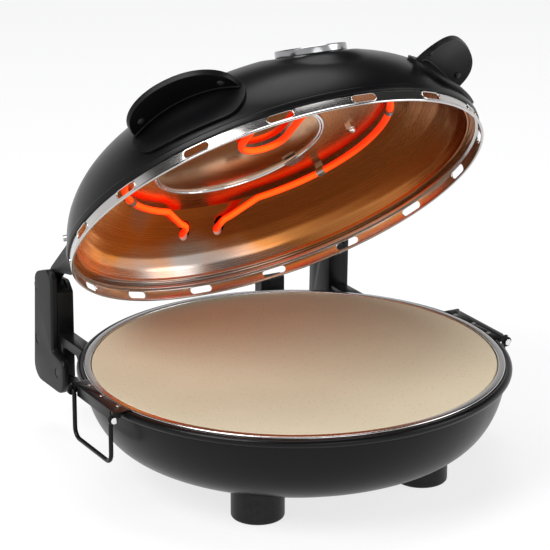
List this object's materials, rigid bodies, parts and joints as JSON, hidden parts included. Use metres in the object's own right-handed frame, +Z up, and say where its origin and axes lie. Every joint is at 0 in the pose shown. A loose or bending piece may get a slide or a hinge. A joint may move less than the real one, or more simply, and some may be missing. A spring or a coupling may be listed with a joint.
{
  "type": "electric pizza maker",
  "caption": "Round countertop pizza oven with a stone baking base, a hinged domed lid with glowing heating element, ear-shaped lid handles, a dial and side wire bails",
  "frame": {"origin": "centre of the footprint, on the table under the feet", "axes": "+Z up, the front (opening side of the lid) toward -Y, the hinge toward +Y, X across"},
  "size_m": [0.3724, 0.3735, 0.3702],
  "materials": {
    "black_satin": "satin black enamel",
    "steel": "polished stainless",
    "mirror_steel": "mirror-polished aluminised steel",
    "chrome": "polished chrome",
    "black_plastic": "moulded black, fine grain",
    "stone": "cordierite baking stone",
    "hot_tube": "glowing heater tube",
    "cold_tube": "dark oxidised heater tube",
    "ceramic": "plain ceramic",
    "wool": "mineral wool",
    "zinc": "plated screws and clips",
    "capsule": "phenolic switch body"
  },
  "bodies": {
    "base": {"base_bowl": "black_satin", "rim_ring": "black_satin", "baking_pan": "steel", "pizza_stone": "stone", "lower_element": "cold_tube", "lower_element_clips": "zinc", "heat_shield": "mirror_steel", "insulation_pad": "wool", "thermal_fuse": "zinc", "terminal_block": "ceramic", "rear_cover": "black_plastic", "cord_gland": "black_plastic", "feet": "black_plastic", "foot_screws": "zinc", "bail_bracket_left": "black_satin", "bail_bracket_right": "black_satin", "bracket_rivets": "zinc", "post_bracket_left": "black_satin", "post_bracket_right": "black_satin", "hinge_post_left": "black_plastic", "hinge_post_right": "black_plastic", "post_cover_left": "black_plastic", "post_cover_right": "black_plastic", "post_plugs": "black_plastic", "hinge_pins": "zinc"},
    "lid": {"lid_dome": "black_satin", "lid_skirt": "steel", "lid_reflector": "mirror_steel", "upper_element": "hot_tube", "element_bushings": "ceramic", "element_clips": "zinc", "ceiling_disc": "mirror_steel", "disc_clip": "zinc", "ceiling_nuts": "zinc", "lid_arm_left": "black_satin", "lid_arm_right": "black_satin", "arm_screws": "zinc", "ear_left": "black_plastic", "ear_right": "black_plastic", "ear_screws": "black_plastic", "dial_seat": "black_plastic", "thermostat": "capsule", "thermostat_nut": "zinc"},
    "dial": {"dial_knob": "chrome", "dial_shaft": "zinc"},
    "bail_l": {"bail_left": "black_satin", "bail_caps_left": "chrome"},
    "bail_r": {"bail_right": "black_satin", "bail_caps_right": "chrome"}
  },
  "joints": [
    {"name": "lid_hinge", "type": "hinge", "parent": "base", "child": "lid", "pos_m": [0, 0.164, 0.122], "axis": [-1, 0, 0], "range_deg": [-41.4, 38.6]},
    {"name": "dial_turn", "type": "hinge", "parent": "lid", "child": "dial", "pos_m": [0, -0.03435, 0.3558], "axis": [0, 0.2907, 0.9568], "range_deg": [0, 270]},
    {"name": "bail_left_swing", "type": "hinge", "parent": "base", "child": "bail_l", "pos_m": [-0.182, -0.01, 0.088], "axis": [0, 1, 0], "range_deg": [-25, 115]},
    {"name": "bail_right_swing", "type": "hinge", "parent": "base", "child": "bail_r", "pos_m": [0.182, -0.01, 0.088], "axis": [0, -1, 0], "range_deg": [-25, 115]}
  ]
}
